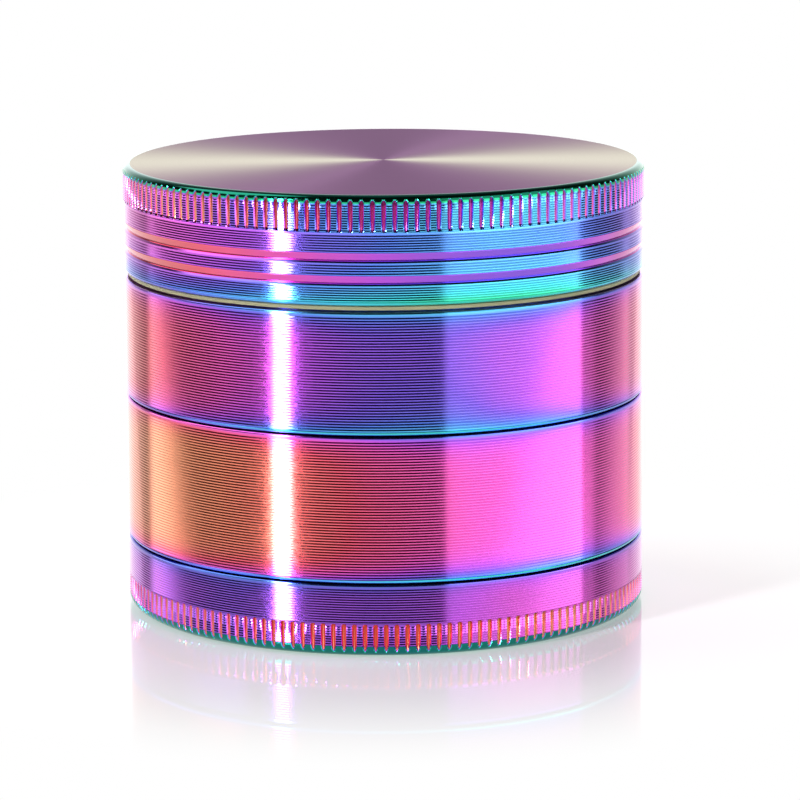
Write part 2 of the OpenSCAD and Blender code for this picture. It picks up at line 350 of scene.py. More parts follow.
def brushed_top():
    """The lid's face: fine concentric turning under the same coating, mauve, with a painted cream highlight
    towards the left and right.
    """
    material, s = new_material("brushed_lid_face")
    place = s.add("ShaderNodeTexCoord").outputs["Object"]
    xyz = s.add("ShaderNodeSeparateXYZ", Vector=place)
    radius = s.math("SQRT", s.math("ADD", s.math("POWER", xyz.outputs[0], 2.0),
                                   s.math("POWER", xyz.outputs[1], 2.0)))
    ring = s.add("ShaderNodeCombineXYZ", X=s.math("MULTIPLY", radius, 9000.0))
    streak = s.add("ShaderNodeTexNoise", {"noise_dimensions": "3D"}, Vector=ring.outputs[0],
                   Scale=1.0, Detail=2.0).outputs["Fac"]
    mauve = s.add("ShaderNodeMix", {"data_type": "RGBA"}, Factor=streak)
    mauve.inputs[6].default_value = FACE_DARK
    mauve.inputs[7].default_value = FACE_LIGHT
    azimuth = s.math("ARCTAN2", xyz.outputs[0], s.math("MULTIPLY", xyz.outputs[1], -1.0))
    # Painted highlight: the base colour and the glancing tint turn cream towards the left and right of the
    # face.
    side_highlight = s.math("POWER", s.math("ABSOLUTE", s.math("SINE", azimuth)), 4.0)
    tint = s.add("ShaderNodeMix", {"data_type": "RGBA"}, Factor=side_highlight)
    s.put(tint.inputs[6], mauve.outputs[2])
    tint.inputs[7].default_value = FACE_HIGHLIGHT_CREAM
    side_highlight_tint = s.add("ShaderNodeMix", {"data_type": "RGBA"}, Factor=side_highlight)
    side_highlight_tint.inputs[6].default_value = GLANCING_MAUVE
    side_highlight_tint.inputs[7].default_value = GLANCING_HIGHLIGHT_CREAM
    specks = s.add("ShaderNodeTexVoronoi", Vector=place, Scale=240.0, Randomness=1.0)
    lot = s.add("ShaderNodeSeparateXYZ", Vector=specks.outputs["Color"]).outputs[0]
    chosen = s.math("GREATER_THAN", lot, 0.985)
    dust = s.math("MULTIPLY", chosen, s.math("LESS_THAN", specks.outputs["Distance"], 0.055))
    rough = s.add("ShaderNodeMapRange", Value=streak, To_Min=0.24, To_Max=0.36).outputs[0]
    metal = s.add("ShaderNodeBsdfPrincipled", Base_Color=tint.outputs[2], Roughness=rough,
                  Metallic=s.math("SUBTRACT", 1.0, dust), Anisotropic=0.85, Anisotropic_Rotation=0.25,
                  Specular_Tint=side_highlight_tint.outputs[2])
    tangent = s.add("ShaderNodeTangent", {"direction_type": "RADIAL", "axis": "Z"})
    s.put(metal.inputs["Tangent"], tangent.outputs[0])
    finish_material(s, metal.outputs[0])
    return material


def plain_material(name, colour, metallic, roughness, grain=1500.0, spread=0.12, bump=0.1, **extra):
    """A finish with slight cloudiness in its colour, and a fine grain in its roughness and relief."""
    material, s = new_material(name)
    place = s.add("ShaderNodeTexCoord").outputs["Object"]
    noise = s.add("ShaderNodeTexNoise", Vector=place, Scale=grain, Detail=3.0).outputs["Fac"]
    cloud = s.add("ShaderNodeTexNoise", Vector=place, Scale=grain / 8, Detail=2.0).outputs["Fac"]
    tint = s.add("ShaderNodeMix", {"data_type": "RGBA"}, Factor=cloud)
    tint.inputs[6].default_value = (*[c * (1 - spread) for c in colour], 1)
    tint.inputs[7].default_value = (*[min(1, c * (1 + spread)) for c in colour], 1)
    rough = s.add("ShaderNodeMapRange", Value=noise, To_Min=roughness * 0.8, To_Max=roughness * 1.2)
    relief = s.add("ShaderNodeBump", Height=noise, Strength=bump, Distance=0.00003)
    body = s.add("ShaderNodeBsdfPrincipled", Base_Color=tint.outputs[2], Metallic=metallic,
                 Roughness=rough.outputs[0], Normal=relief.outputs[0], **extra)
    finish_material(s, body.outputs[0])
    return material


# ---------------------------------------------------------------- shapes by Geometry Nodes

class Shape:
    """Adds nodes to a Geometry Nodes tree with named inputs."""

    def __init__(self, name, inputs):
        self.tree = bpy.data.node_groups.new(name, "GeometryNodeTree")
        self.tree.interface.new_socket("Geometry", in_out="OUTPUT", socket_type="NodeSocketGeometry")
        self.tree.interface.new_socket("Geometry", in_out="INPUT", socket_type="NodeSocketGeometry")
        for label, kind in inputs:
            self.tree.interface.new_socket(label, in_out="INPUT", socket_type="NodeSocket" + kind)
        self.given = self.tree.nodes.new("NodeGroupInput").outputs

    def add(self, kind, settings=None, **inputs):
        node = self.tree.nodes.new(kind)
        for key, value in (settings or {}).items():
            setattr(node, key, value)
        for key, value in inputs.items():
            self.put(node.inputs[key.replace("_", " ")], value)
        return node

    def put(self, socket, value):
        if isinstance(value, bpy.types.NodeSocket):
            self.tree.links.new(value, socket)
        else:
            socket.default_value = value

    def math(self, operation, *values):
        node = self.tree.nodes.new("ShaderNodeMath")
        node.operation = operation
        for socket, value in zip(node.inputs, values):
            self.put(socket, value)
        return node.outputs[0]

    def sample(self, geometry, value, index, kind):
        node = self.add("GeometryNodeSampleIndex", {"data_type": kind, "domain": "POINT"},
                        Geometry=geometry, Index=index)
        self.put(node.inputs["Value"], value)
        return node.outputs[0]

    def end(self, geometry, material):
        whole = self.add("GeometryNodeRealizeInstances", Geometry=geometry).outputs[0]
        coated = self.add("GeometryNodeSetMaterial", Geometry=whole, Material=material).outputs[0]
        output = self.tree.nodes.new("NodeGroupOutput")
        self.put(output.inputs[0], coated)
        return self.tree


def grow(name, tree, start, values, crease=12):
    """Runs a tree on a starting mesh and keeps the plain mesh that it makes."""
    piece = bpy.data.objects.new(name, start)
    bpy.context.scene.collection.objects.link(piece)
    modifier = piece.modifiers.new("shape", "NODES")
    modifier.node_group = tree
    for item in tree.interface.items_tree:
        if item.item_type == "SOCKET" and item.in_out == "INPUT" and item.name in values:
            modifier[item.identifier] = values[item.name]
    graph = bpy.context.evaluated_depsgraph_get()
    mesh = bpy.data.meshes.new_from_object(piece.evaluated_get(graph), depsgraph=graph)
    piece.modifiers.remove(modifier)
    piece.data = mesh
    mesh.materials.clear()
    mesh.materials.append(values["Material"])
    mesh.polygons.foreach_set("material_index", [0] * len(mesh.polygons))
    mesh.name = name
    mesh.shade_smooth()
    mesh.set_sharp_from_angle(angle=math.radians(crease))
    return piece


def turned_shell_tree():
    """Turns a closed profile about Z and cuts V notches into it. A profile point's x is its radius,
    z its height, and y the radius of the notch floor at that height, in metres."""
    t = Shape("turned_shell", [("Segments", "Int"), ("Notches", "Int"), ("Radius", "Float"),
                               ("Notch slope", "Float"), ("Notch round", "Float"),
                               ("Notch depth", "Float"), ("Crowding", "Float"), ("Material", "Material")])
    profile = t.given["Geometry"]
    count = t.add("GeometryNodeAttributeDomainSize", Geometry=profile).outputs["Point Count"]
    rows = t.math("SUBTRACT", count, 1)
    segments = t.given["Segments"]
    grid = t.add("GeometryNodeMeshGrid", Size_X=rows, Size_Y=segments, Vertices_X=count,
                 Vertices_Y=t.math("ADD", segments, 1)).outputs["Mesh"]
    position = t.add("GeometryNodeInputPosition").outputs[0]
    x, y, _ = t.add("ShaderNodeSeparateXYZ", Vector=position).outputs
    row = t.math("ROUND", t.math("ADD", x, t.math("DIVIDE", rows, 2)))
    column = t.math("ROUND", t.math("ADD", y, t.math("DIVIDE", segments, 2)))
    point = t.sample(profile, position, row, "FLOAT_VECTOR")
    stored = t.add("GeometryNodeInputNamedAttribute", {"data_type": "FLOAT"}, Name="film").outputs[0]
    film = t.sample(profile, stored, row, "FLOAT")
    px, py, pz = t.add("ShaderNodeSeparateXYZ", Vector=point).outputs
    share = t.math("DIVIDE", column, segments)
    wave = t.math("SINE", t.math("MULTIPLY", t.math("MULTIPLY", share, t.given["Notches"]), TURN))
    crowd = t.math("DIVIDE", t.math("MULTIPLY", wave, t.given["Crowding"]), t.given["Notches"])
    share = t.math("SUBTRACT", share, crowd)
    angle = t.math("MULTIPLY", share, TURN)
    phase = t.math("FRACT", t.math("ADD", t.math("MULTIPLY", share, t.given["Notches"]), 0.5))
    pitch = t.math("DIVIDE", t.math("MULTIPLY", t.given["Radius"], TURN), t.given["Notches"])
    off = t.math("MULTIPLY", t.math("SUBTRACT", phase, 0.5), pitch)
    bend = t.given["Notch round"]
    away = t.math("SQRT", t.math("ADD", t.math("POWER", off, 2), t.math("POWER", bend, 2)))
    wall = t.math("MULTIPLY", t.math("SUBTRACT", away, bend), t.given["Notch slope"])
    radius = t.math("MINIMUM", px, t.math("ADD", py, wall))
    cut = t.math("DIVIDE", t.math("SUBTRACT", px, radius), t.given["Notch depth"])
    place = t.add("ShaderNodeCombineXYZ", X=t.math("MULTIPLY", radius, t.math("COSINE", angle)),
                  Y=t.math("MULTIPLY", radius, t.math("SINE", angle)), Z=pz).outputs[0]
    grid = t.add("GeometryNodeStoreNamedAttribute", {"data_type": "FLOAT", "domain": "POINT"},
                 Geometry=grid, Name="film", Value=film).outputs[0]
    grid = t.add("GeometryNodeStoreNamedAttribute", {"data_type": "FLOAT", "domain": "POINT"},
                 Geometry=grid, Name="cut", Value=cut).outputs[0]
    turned = t.add("GeometryNodeSetPosition", Geometry=grid, Position=place).outputs[0]
    closed = t.add("GeometryNodeMergeByDistance", Geometry=turned, Distance=1e-6).outputs[0]
    outward = t.add("GeometryNodeFlipFaces", Mesh=closed).outputs[0]
    return t.end(outward, t.given["Material"])


def tooth_ring_tree():
    """Sets copies of one tooth in a ring about Z, each turned to point outwards."""
    t = Shape("tooth_ring", [("Count", "Int"), ("Ring radius", "Float"), ("Foot height", "Float"),
                             ("Material", "Material")])
    step = t.math("DIVIDE", TURN, t.given["Count"])
    points = t.add("GeometryNodePoints", Count=t.given["Count"]).outputs[0]
    index = t.add("GeometryNodeInputIndex").outputs[0]
    angle = t.math("MULTIPLY", t.math("ADD", index, 0.5), step)
    radius = t.given["Ring radius"]
    place = t.add("ShaderNodeCombineXYZ", X=t.math("MULTIPLY", radius, t.math("COSINE", angle)),
                  Y=t.math("MULTIPLY", radius, t.math("SINE", angle)), Z=t.given["Foot height"]).outputs[0]
    placed = t.add("GeometryNodeSetPosition", Geometry=points, Position=place).outputs[0]
    facing = t.add("ShaderNodeCombineXYZ", Z=angle).outputs[0]
    copies = t.add("GeometryNodeInstanceOnPoints", Points=placed, Instance=t.given["Geometry"],
                   Rotation=facing).outputs[0]
    return t.end(copies, t.given["Material"])


def thread_tree():
    """Winds a ridge around Z. The start mesh is its section, closed on itself: x is the share of
    the ridge height, z the height across the ridge. Both ends fade to a point in the wall."""
    t = Shape("thread_ridge", [("Steps per turn", "Int"), ("Turns", "Float"), ("Pitch", "Float"),
                               ("Wall radius", "Float"), ("Ridge height", "Float"),
                               ("Start height", "Float"), ("Fade", "Float"), ("Material", "Material")])
    section = t.given["Geometry"]
    count = t.add("GeometryNodeAttributeDomainSize", Geometry=section).outputs["Point Count"]
    rows = t.math("SUBTRACT", count, 1)
    steps = t.math("ROUND", t.math("MULTIPLY", t.given["Steps per turn"], t.given["Turns"]))
    grid = t.add("GeometryNodeMeshGrid", Size_X=rows, Size_Y=steps, Vertices_X=count,
                 Vertices_Y=t.math("ADD", steps, 1)).outputs["Mesh"]
    position = t.add("GeometryNodeInputPosition").outputs[0]
    x, y, _ = t.add("ShaderNodeSeparateXYZ", Vector=position).outputs
    row = t.math("ROUND", t.math("ADD", x, t.math("DIVIDE", rows, 2)))
    column = t.math("ROUND", t.math("ADD", y, t.math("DIVIDE", steps, 2)))
    point = t.sample(section, position, row, "FLOAT_VECTOR")
    rise, _, across = t.add("ShaderNodeSeparateXYZ", Vector=point).outputs
    turn = t.math("MULTIPLY", t.math("DIVIDE", column, steps), t.given["Turns"])
    ends = t.math("MINIMUM", turn, t.math("SUBTRACT", t.given["Turns"], turn))
    grown = t.math("MINIMUM", 1.0, t.math("DIVIDE", t.math("MAXIMUM", 0.0, ends), t.given["Fade"]))
    height = t.math("MULTIPLY", t.math("MULTIPLY", rise, grown), t.given["Ridge height"])
    across = t.math("MULTIPLY", across, t.math("POWER", grown, 0.4))
    radius = t.math("ADD", t.given["Wall radius"], height)
    angle = t.math("MULTIPLY", turn, TURN)
    climb = t.math("MULTIPLY", turn, t.given["Pitch"])
    z = t.math("ADD", t.math("ADD", across, t.given["Start height"]), climb)
    place = t.add("ShaderNodeCombineXYZ", X=t.math("MULTIPLY", radius, t.math("COSINE", angle)),
                  Y=t.math("MULTIPLY", radius, t.math("SINE", angle)), Z=z).outputs[0]
    wound = t.add("GeometryNodeSetPosition", Geometry=grid, Position=place).outputs[0]
    closed = t.add("GeometryNodeMergeByDistance", Geometry=wound, Distance=1e-6).outputs[0]
    return t.end(closed, t.given["Material"])


def screen_tree():
    """Weaves a round screen: wires both ways, passing over and under each other."""
    t = Shape("woven_screen", [("Screen radius", "Float"), ("Wire pitch", "Float"),
                               ("Wire radius", "Float"), ("Middle height", "Float"),
                               ("Material", "Material")])
    pitch = t.given["Wire pitch"]
    half = t.math("CEIL", t.math("DIVIDE", t.given["Screen radius"], pitch))
    wires = t.math("ADD", t.math("MULTIPLY", half, 2), 1)
    knots = t.math("ADD", t.math("MULTIPLY", half, 4), 1)
    size = t.math("MULTIPLY", t.math("MULTIPLY", half, 2), pitch)
    position = t.add("GeometryNodeInputPosition").outputs[0]
    x, y, _ = t.add("ShaderNodeSeparateXYZ", Vector=position).outputs
    turn_x = t.math("COSINE", t.math("MULTIPLY", t.math("DIVIDE", x, pitch), math.pi))
    turn_y = t.math("COSINE", t.math("MULTIPLY", t.math("DIVIDE", y, pitch), math.pi))
    wave = t.math("MULTIPLY", t.math("MULTIPLY", turn_x, turn_y), t.given["Wire radius"])
    reach = t.add("ShaderNodeVectorMath", {"operation": "LENGTH"}, Vector=position).outputs["Value"]
    outside = t.math("GREATER_THAN", reach, t.given["Screen radius"])
    layers = []
    for along, sign in (("x", 1), ("y", -1)):
        counts = (knots, wires) if along == "x" else (wires, knots)
        sheet = t.add("GeometryNodeMeshGrid", Size_X=size, Size_Y=size, Vertices_X=counts[0],
                      Vertices_Y=counts[1]).outputs["Mesh"]
        ends = t.add("GeometryNodeInputMeshEdgeVertices").outputs
        gap = t.add("ShaderNodeVectorMath", {"operation": "SUBTRACT"})
        t.put(gap.inputs[0], ends["Position 1"])
        t.put(gap.inputs[1], ends["Position 2"])
        gap_x, gap_y, _ = t.add("ShaderNodeSeparateXYZ", Vector=gap.outputs[0]).outputs
        across = t.math("GREATER_THAN", t.math("ABSOLUTE", gap_y if along == "x" else gap_x), 1e-6)
        strands = t.add("GeometryNodeDeleteGeometry", {"domain": "EDGE", "mode": "EDGE_FACE"},
                        Geometry=sheet, Selection=across).outputs[0]
        strands = t.add("GeometryNodeDeleteGeometry", {"domain": "POINT"}, Geometry=strands,
                        Selection=outside).outputs[0]
        lift = t.math("ADD", t.math("MULTIPLY", wave, sign), t.given["Middle height"])
        shift = t.add("ShaderNodeCombineXYZ", Z=lift).outputs[0]
        strands = t.add("GeometryNodeSetPosition", Geometry=strands, Offset=shift).outputs[0]
        curves = t.add("GeometryNodeMeshToCurve", Mesh=strands).outputs[0]
        section = t.add("GeometryNodeCurvePrimitiveCircle", Resolution=4, Radius=t.given["Wire radius"])
        wire = t.add("GeometryNodeCurveToMesh", Curve=curves, Profile_Curve=section.outputs[0],
                     Fill_Caps=True).outputs[0]
        layers.append(wire)
    join = t.add("GeometryNodeJoinGeometry")
    for layer in [*layers, t.given["Geometry"]]:
        t.put(join.inputs[0], layer)
    return t.end(join.outputs[0], t.given["Material"])


def drilled_tree():
    """Drills rings of round holes through a turned plate."""
    t = Shape("drilled_plate", [("Outer holes", "Int"), ("Outer ring", "Float"), ("Inner holes", "Int"),
                                ("Inner ring", "Float"), ("Hole radius", "Float"),
                                ("Plate height", "Float"), ("Drill length", "Float"),
                                ("Material", "Material")])
    drill = t.add("GeometryNodeMeshCylinder", Vertices=48, Radius=t.given["Hole radius"],
                  Depth=t.given["Drill length"]).outputs["Mesh"]
    rings = []
    for ring in ("Outer", "Inner"):
        number = t.given[ring + " holes"]
        points = t.add("GeometryNodePoints", Count=number).outputs[0]
        index = t.add("GeometryNodeInputIndex").outputs[0]
        angle = t.math("MULTIPLY", index, t.math("DIVIDE", TURN, number))
        radius = t.given[ring + " ring"]
        place = t.add("ShaderNodeCombineXYZ", X=t.math("MULTIPLY", radius, t.math("COSINE", angle)),
                      Y=t.math("MULTIPLY", radius, t.math("SINE", angle)), Z=t.given["Plate height"])
        placed = t.add("GeometryNodeSetPosition", Geometry=points, Position=place.outputs[0]).outputs[0]
        rings.append(t.add("GeometryNodeInstanceOnPoints", Points=placed, Instance=drill).outputs[0])
    cut = t.add("GeometryNodeMeshBoolean", {"operation": "DIFFERENCE", "solver": "EXACT"})
    t.put(cut.inputs["Mesh 1"], t.given["Geometry"])
    for ring in rings:
        t.put(cut.inputs["Mesh 2"], t.add("GeometryNodeRealizeInstances", Geometry=ring).outputs[0])
    return t.end(cut.outputs[0], t.given["Material"])


# ---------------------------------------------------------------- profiles, in millimetres

class Profile:
    """Outline of a turned piece, as points (radius, height, notch floor radius, film order)."""

    def __init__(self):
        self.points = []

    def to(self, r, z, film, floor=FAR):
        self.points.append((r, z, floor, film))
        return self

    def arc(self, cr, cz, radius, start, stop, film, steps=6, floor=None):
        """Round edge about (cr, cz). film is a value or a function of height."""
        for i in range(steps + 1):
            a = math.radians(start + (stop - start) * i / steps)
            z = cz + radius * math.sin(a)
            self.to(cr + radius * math.cos(a), z, film(z) if callable(film) else film,
                    floor(z) if floor else FAR)
        return self

    def turning(self, z0, z1, pitch, depth, film, floor=None):
        """Fine turned lines on the outside, from height z0 to z1. Each has a flat land and a
        shallow groove with a short flank below and a longer one above."""
        count = max(1, round(abs(z1 - z0) / pitch))
        step = (z1 - z0) / count
        for i in range(count):
            for part, dip in LINE_POINTS:
                z = z0 + (i + part) * step
                self.to(R - depth * dip, z, film(z), floor(z) if floor else FAR)
        return self

    def mesh(self, name):
        """The points as a mesh, closed on themselves."""
        points = self.points + [self.points[0]]
        mesh = bpy.data.meshes.new(name)
        mesh.from_pydata([(r * MM, floor * MM, z * MM) for r, z, floor, _ in points], [], [])
        film = mesh.attributes.new("film", "FLOAT", "POINT")
        film.data.foreach_set("value", [p[3] for p in points])
        return mesh


def film_height(low, high, mid, low_rise, high_rise, reach=0.9):
    """Film order up the side of a piece: mid in the middle, thicker towards both rims."""
    def order(z):
        return (mid + low_rise * math.exp(-(z - low) / reach)
                + high_rise * math.exp(-(high - z) / reach))
    return order


def rounded(distance, reach):
    """0 at the end of a notch, 1 from reach onwards, with a round run-out between."""
    near = min(1, max(0, distance / reach))
    return math.sqrt(1 - (1 - near) ** 2)


SHELL_TREE = turned_shell_tree()


def shell(name, profile, material, segments=256, notches=1, crease=12):
    return grow(name, SHELL_TREE, profile.mesh(name + "_profile"),
                {"Segments": segments, "Notches": notches, "Radius": R * MM, "Notch slope": 1.7,
                 "Notch round": 0.08 * MM, "Notch depth": NOTCH_DEPTH * MM,
                 "Crowding": 0.07 if notches > 1 else 0.0, "Material": material}, crease)


GROOVE_FILM = 0.57


def lid_film(z):
    return film_height(LID_Z, TOP_Z, 0.72, 0.30, 0.0, 1.5)(z) + (0.08 if z > LID_KNURL_Z else 0)


def lid_groove(p, z):
    """One turned groove around the lid, from its sharp lower lip up its long upper flank."""
    band = GROOVE_FILM
    p.to(R, z - 0.05, lid_film(z)).to(R - 0.15, z + 0.11, lid_film(z))
    p.to(R - 0.26, z + 0.15, band).to(R - 0.24, z + 0.19, band)
    for share in (0.25, 0.5, 0.75, 1.0):
        p.to(R - 0.24 * (1 - share), z + 0.19 + 0.63 * share, band)
    p.to(R, z + 0.86, band)


def make_lid(side, face):
    p = Profile()
    p.to(LID_INNER_R, LID_Z, 0.9)
    p.arc(R - LOWER_EDGE_R, LID_Z + LOWER_EDGE_R, LOWER_EDGE_R, -90, 0, 0.93, 6)
    groove_1, groove_2 = [LID_Z + height for height in GROOVE_HEIGHTS]
    p.turning(LID_Z + LOWER_EDGE_R + 0.05, groove_1, LINE_FINE, LINE_DEPTH, lid_film)
    lid_groove(p, groove_1)
    p.turning(groove_1 + 0.87, groove_2, LINE_FINE, LINE_DEPTH, lid_film)
    lid_groove(p, groove_2)
    p.turning(groove_2 + 0.87, LID_KNURL_Z, LINE_FINE, LINE_DEPTH, lid_film)
    p.to(R - 0.005, LID_KNURL_Z, 0.75)
    inner = R - LID_EDGE_R
    p.to(inner, LID_KNURL_Z, 0.75)
    p.to(inner, TOP_Z, 0.9)
    for i in range(1, 12):
        p.to(inner * (1 - i / 12), TOP_Z, 0.6)
    p.to(0, TOP_Z, 0.6)
    p.to(0, LID_MAGNET_TOP + 0.1, 0.6)
    pocket = MAGNET_R + 0.1
    p.to(pocket, LID_MAGNET_TOP + 0.1, 0.6).to(pocket, LID_MAGNET_Z + 0.15, 0.6)
    p.to(pocket + 0.15, LID_MAGNET_Z, 0.7).to(POST_R - 0.3, LID_MAGNET_Z, 0.7)
    p.to(POST_R, LID_MAGNET_Z + 0.3, 0.62).to(POST_R, LID_UNDER - 0.6, 0.5)
    p.arc(POST_R + 0.6, LID_UNDER - 0.6, 0.6, 180, 90, 0.5, 4)
    p.arc(LID_INNER_R - 0.8, LID_UNDER - 0.8, 0.8, 90, 0, 0.55, 5)
    p.to(LID_INNER_R, LID_Z + 0.3, 0.6)
    lid = shell("lid_shell", p, side)
    lid.data.materials.append(face)
    for polygon in lid.data.polygons:
        if polygon.center.z > (TOP_Z - 0.01) * MM:
            polygon.material_index = 1
    return lid


def make_lid_knurl(coat):
    """Knurled upper edge of the lid, with the rounding above it."""
    low, high = LID_KNURL_Z, TOP_Z

    def notch_floor(z):
        foot, head = low, high - 0.38
        taper = 0.62 + 0.38 * (z - foot) / (head - foot)
        return R - NOTCH_DEPTH * taper * rounded(z - foot, 0.32) * rounded(head - z, 0.62)

    p = Profile()
    inner = R - LID_EDGE_R
    round_z = TOP_Z - LID_EDGE_R
    p.to(inner, low, 0.8)
    p.to(R - 0.01, low, 0.8, notch_floor(low))
    p.turning(low + 0.02, round_z, LINE_FINE, LINE_DEPTH, lid_film, notch_floor)
    p.arc(inner, round_z, LID_EDGE_R, 0, 90, lambda z: 1.04 + 0.08 * (z - round_z) / LID_EDGE_R, 9,
          notch_floor)
    p.to(inner, TOP_Z - 0.4, 0.9)
    return shell("lid_knurl", p, coat, LID_NOTCHES * COLUMNS_PER_NOTCH, LID_NOTCHES, 16)


def make_chamber(coat):
    film = film_height(CHAMBER_Z, SHOULDER_Z, 0.57, 0.30, 0.22, 0.9)
    p = Profile()
    p.to(SPIGOT_INNER_R, CHAMBER_Z - SPIGOT_H, 0.6).to(SPIGOT_R - 0.3, CHAMBER_Z - SPIGOT_H, 0.7)
    p.to(SPIGOT_R, CHAMBER_Z - SPIGOT_H + 0.3, 0.6).to(SPIGOT_R, CHAMBER_Z, 0.55)
    p.arc(R - LOWER_EDGE_R, CHAMBER_Z + LOWER_EDGE_R, LOWER_EDGE_R, -90, 0, 0.86, 6)
    p.turning(CHAMBER_Z + LOWER_EDGE_R + 0.05, SHOULDER_Z - 0.2, LINE_COARSE, LINE_DEPTH, film)
    p.arc(R - UPPER_EDGE_R, SHOULDER_Z - UPPER_EDGE_R, UPPER_EDGE_R, 0, 90, 0.8, 3)
    p.to(RIM_R, SHOULDER_Z, 0.7).to(RIM_R, RIM_TOP - 0.3, 0.55).to(RIM_R - 0.3, RIM_TOP, 0.75)
    p.to(RIM_INNER_R + 0.2, RIM_TOP, 0.75).to(RIM_INNER_R, RIM_TOP - 0.2, 0.6)
    p.to(RIM_INNER_R, FLOOR_TOP + 0.5, 0.5)
    p.arc(RIM_INNER_R - 0.5, FLOOR_TOP + 0.5, 0.5, 0, -90, 0.5, 4)
    p.to(RIM_INNER_R - 0.5, FLOOR_UNDER, 0.55).to(SPIGOT_INNER_R, FLOOR_UNDER, 0.55)
    return shell("grinding_chamber_shell", p, coat)


def make_sieve(coat):
    film = film_height(SIEVE_Z, SIEVE_TOP, 0.432, 0.38, 0.2, 0.9)
    p = Profile()
    p.to(SPIGOT_INNER_R, SIEVE_Z - SPIGOT_H, 0.6).to(SPIGOT_R - 0.3, SIEVE_Z - SPIGOT_H, 0.7)
    p.to(SPIGOT_R, SIEVE_Z - SPIGOT_H + 0.3, 0.5).to(SPIGOT_R, SIEVE_Z, 0.5)
    p.arc(R - LOWER_EDGE_R, SIEVE_Z + LOWER_EDGE_R, LOWER_EDGE_R, -90, 0, 0.88, 6)
    p.turning(SIEVE_Z + LOWER_EDGE_R + 0.05, SIEVE_TOP - 0.2, LINE_COARSE, LINE_DEPTH, film)
    p.arc(R - UPPER_EDGE_R, SIEVE_TOP - UPPER_EDGE_R, UPPER_EDGE_R, 0, 90, 0.66, 3)
    p.to(SOCKET_R + 0.3, SIEVE_TOP, 0.6).to(SOCKET_R, SIEVE_TOP - 0.3, 0.5)
    p.to(SOCKET_R, SIEVE_TOP - SOCKET_DEPTH, 0.4).to(BOWL_R, SIEVE_TOP - SOCKET_DEPTH, 0.5)
    p.to(BOWL_R, SIEVE_Z, 0.4).to(LEDGE_R, SIEVE_Z, 0.5).to(LEDGE_R, SIEVE_Z - LEDGE_T, 0.5)
    p.to(SPIGOT_INNER_R, SIEVE_Z - LEDGE_T, 0.5)
    return shell("sieve_chamber_shell", p, coat)


def tray_film(z):
    return film_height(0, TRAY_H, 0.565, 0.0, 0.12, 0.5)(z)


def make_tray(coat):
    p = Profile()
    p.to(0, 0, 0.6).to(R - 1.6, 0, 0.7).to(R - 1.6, TRAY_KNURL_TOP, 0.55)
    p.turning(TRAY_KNURL_TOP, TRAY_H - 0.2, LINE_FINE, LINE_DEPTH, tray_film)
    p.arc(R - UPPER_EDGE_R, TRAY_H - UPPER_EDGE_R, UPPER_EDGE_R, 0, 90, 0.68, 3)
    p.to(SOCKET_R + 0.3, TRAY_H, 0.6).to(SOCKET_R, TRAY_H - 0.3, 0.5)
    p.to(SOCKET_R, TRAY_H - SOCKET_DEPTH, 0.45).to(CAVITY_R, TRAY_H - SOCKET_DEPTH, 0.5)
    p.arc(CAVITY_R - 1.2, TRAY_FLOOR + 1.2, 1.2, 0, -90, 0.45, 6)
    for i in range(1, 6):
        p.to((CAVITY_R - 1.2) * (1 - i / 6), TRAY_FLOOR, 0.45)
    p.to(0, TRAY_FLOOR, 0.45)
    return shell("tray_shell", p, coat)


def make_tray_knurl(coat):
    """Knurled foot of the tray, with the chamfer below it."""
    high = TRAY_KNURL_TOP
    chamfer = TRAY_CHAMFER

    def notch_floor(z):
        taper = 0.62 + 0.34 * z / high
        return R - NOTCH_DEPTH * taper * rounded(high - z, 0.3)

    def foot(z):
        return 1.15 - 0.03 * max(0, z) / chamfer

    p = Profile()
    p.to(R - 1.6, 0, 0.8)
    p.arc(R - chamfer, chamfer, chamfer, -62, 0, foot, 8, notch_floor)
    p.turning(chamfer + 0.03, high, LINE_FINE, LINE_DEPTH, tray_film, notch_floor)
    p.to(R, high, tray_film(high), notch_floor(high))
    p.to(R - 1.6, high, 0.6)
    return shell("tray_knurl", p, coat, TRAY_NOTCHES * COLUMNS_PER_NOTCH, TRAY_NOTCHES, 16)


def make_chamber_floor(coat):
    """Floor of the grinding chamber with its centre post and the two rings of drop holes."""
    post_top = CORE_MAGNET_TOP
    pocket = MAGNET_R + 0.1
    p = Profile()
    p.to(0, FLOOR_UNDER, 0.6).to(RIM_INNER_R + 0.3, FLOOR_UNDER, 0.6).to(RIM_INNER_R + 0.3, FLOOR_TOP, 0.6)
    p.to(RIM_INNER_R - 0.4, FLOOR_TOP, 0.45).to(POST_R + 0.5, FLOOR_TOP, 0.5)
    p.arc(POST_R + 0.5, FLOOR_TOP + 0.5, 0.5, -90, -180, 0.5, 4)
    p.to(POST_R, post_top - 0.3, 0.6).to(POST_R - 0.3, post_top, 0.75)
    p.to(pocket + 0.15, post_top, 0.7).to(pocket, post_top - 0.15, 0.6)
    p.to(pocket, CORE_MAGNET_Z, 0.6).to(0, CORE_MAGNET_Z, 0.6)
    blank = shell("chamber_floor_blank", p, coat, 192)
    plate = blank.data
    bpy.data.objects.remove(blank)
    return grow("chamber_floor", drilled_tree(), plate,
                {"Outer holes": DROP_HOLES[0], "Outer ring": RINGS[1] * MM, "Inner holes": DROP_HOLES[1],
                 "Inner ring": RINGS[3] * MM, "Hole radius": DROP_HOLE_R * MM,
                 "Plate height": (FLOOR_TOP + FLOOR_UNDER) / 2 * MM,
                 "Drill length": (FLOOR_TOP - FLOOR_UNDER + 1) * MM, "Material": coat}, 25)


